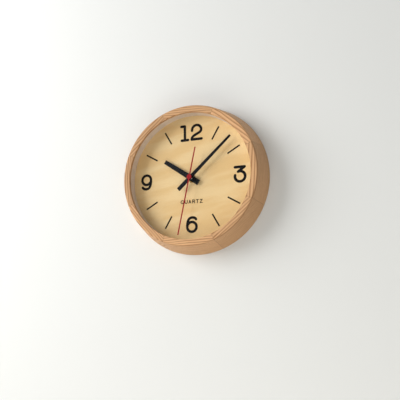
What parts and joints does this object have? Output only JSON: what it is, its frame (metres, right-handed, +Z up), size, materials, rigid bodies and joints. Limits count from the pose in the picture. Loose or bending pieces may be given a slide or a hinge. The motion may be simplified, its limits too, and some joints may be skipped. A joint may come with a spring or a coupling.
{
  "type": "round wall clock",
  "caption": "Round wooden wall clock with a flared mitred case, glazed pale dial, three hands, a geared quartz movement, battery and keyhole hanger.",
  "frame": {"origin": "centre of the keyhole hanger's round entry hole, in the wall's plane, where the clock hangs", "axes": "+X to the viewer's right, +Y into the wall, +Z up; the viewer is on the -Y side and the dial's axis is 92 mm below the origin"},
  "size_m": [0.2518, 0.0443, 0.2518],
  "materials": {
    "stave_light": "clear satin lacquer over straight-grained hardwood",
    "stave_dark": "clear satin lacquer over straight-grained hardwood",
    "glass": "clear polished",
    "liner": "matt off-white",
    "dial_board": "pale smooth veneer",
    "print": "matt black print",
    "spacer": "raw fibreboard",
    "hardboard": "raw hardboard",
    "zinc_steel": "zinc plated",
    "hand_black": "satin black lacquer",
    "hand_red": "red lacquer",
    "brass": "turned",
    "rubber": "matt",
    "shell_black": "fine spark-eroded texture",
    "gear_white": "natural acetal",
    "steel": "ground",
    "magnet": "sintered",
    "stator_iron": "annealed",
    "bobbin": "natural",
    "copper": "enamelled copper wire",
    "pcb": "solder mask over phenolic board",
    "chip": "epoxy blob",
    "cell_sleeve": "plain printed sleeve"
  },
  "bodies": {
    "clock_case": {"case_stave_1": "stave_light", "case_stave_2": "stave_dark", "case_stave_3": "stave_light", "case_stave_4": "stave_dark", "case_stave_5": "stave_light", "case_stave_6": "stave_dark", "case_stave_7": "stave_light", "case_stave_8": "stave_dark", "front_glass": "glass", "liner_ring": "liner", "dial": "dial_board", "hour_marks": "print", "numerals": "print", "dial_word": "print", "spacer_ring": "spacer", "back_board": "hardboard", "back_screws": "zinc_steel", "hanger_plate": "zinc_steel", "hanger_screws": "zinc_steel", "movement_housing": "shell_black", "movement_cover": "shell_black", "train_plate": "gear_white", "mounting_bush": "brass", "rubber_gasket": "rubber", "dial_washer": "brass", "hex_nut": "brass", "stator": "stator_iron", "coil_core": "stator_iron", "coil_bobbin": "bobbin", "coil_winding": "copper", "coil_terminals": "brass", "circuit_board": "pcb", "quartz_crystal": "zinc_steel", "clock_chip": "chip", "contact_positive": "zinc_steel", "contact_negative": "zinc_steel"},
    "second_train": {"second_arbor": "steel", "second_wheel": "gear_white", "second_hand": "hand_red", "second_hand_tube": "brass"},
    "intermediate": {"intermediate_wheel": "gear_white"},
    "rotor": {"rotor_magnet": "magnet", "rotor_pinion": "gear_white"},
    "third": {"third_wheel": "gear_white"},
    "centre": {"centre_wheel": "gear_white"},
    "minute_train": {"minute_pipe": "gear_white", "minute_hand": "hand_black", "clutch_spring": "steel"},
    "minute_transfer": {"minute_wheel": "gear_white"},
    "hour_train": {"hour_wheel": "gear_white", "hour_hand": "hand_black"},
    "setter": {"setting_shaft": "gear_white", "setting_knob": "shell_black"},
    "cell": {"battery": "cell_sleeve"}
  },
  "joints": [
    {"name": "second_hand_spin", "type": "hinge", "parent": "clock_case", "child": "second_train", "pos_m": [0, -0.01, -0.092], "axis": [0, 1, 0], "continuous": true},
    {"name": "minute_hand_spin", "type": "hinge", "parent": "clock_case", "child": "minute_train", "pos_m": [0, -0.01, -0.092], "axis": [0, 1, 0], "continuous": true},
    {"name": "intermediate_spin", "type": "hinge", "parent": "clock_case", "child": "intermediate", "pos_m": [-0.00721, -0.01, -0.08479], "axis": [0, 1, 0], "continuous": true},
    {"name": "rotor_spin", "type": "hinge", "parent": "clock_case", "child": "rotor", "pos_m": [-0.01276, -0.01, -0.07924], "axis": [0, 1, 0], "continuous": true},
    {"name": "third_spin", "type": "hinge", "parent": "clock_case", "child": "third", "pos_m": [0.00766, -0.01, -0.08557], "axis": [0, 1, 0], "continuous": true},
    {"name": "centre_spin", "type": "hinge", "parent": "clock_case", "child": "centre", "pos_m": [0, -0.01, -0.092], "axis": [0, 1, 0], "continuous": true},
    {"name": "minute_transfer_spin", "type": "hinge", "parent": "clock_case", "child": "minute_transfer", "pos_m": [0.008, -0.01, -0.092], "axis": [0, 1, 0], "continuous": true},
    {"name": "hour_hand_spin", "type": "hinge", "parent": "clock_case", "child": "hour_train", "pos_m": [0, -0.01, -0.092], "axis": [0, 1, 0], "continuous": true},
    {"name": "setting_knob_spin", "type": "hinge", "parent": "clock_case", "child": "setter", "pos_m": [0.017, -0.01, -0.092], "axis": [0, 1, 0], "continuous": true},
    {"name": "battery_slide", "type": "slide", "parent": "clock_case", "child": "cell", "axis": [0, 1, 0], "range_m": [0, 0.024]}
  ],
  "couplings": [
    {"joint": "intermediate_spin", "follows": "second_hand_spin", "ratio": -5},
    {"joint": "rotor_spin", "follows": "second_hand_spin", "ratio": 30},
    {"joint": "third_spin", "follows": "second_hand_spin", "ratio": -0.13333},
    {"joint": "centre_spin", "follows": "second_hand_spin", "ratio": 0.016667},
    {"joint": "minute_transfer_spin", "follows": "minute_hand_spin", "ratio": -0.33333},
    {"joint": "hour_hand_spin", "follows": "minute_hand_spin", "ratio": 0.083333},
    {"joint": "setting_knob_spin", "follows": "minute_hand_spin", "ratio": 0.66667}
  ]
}
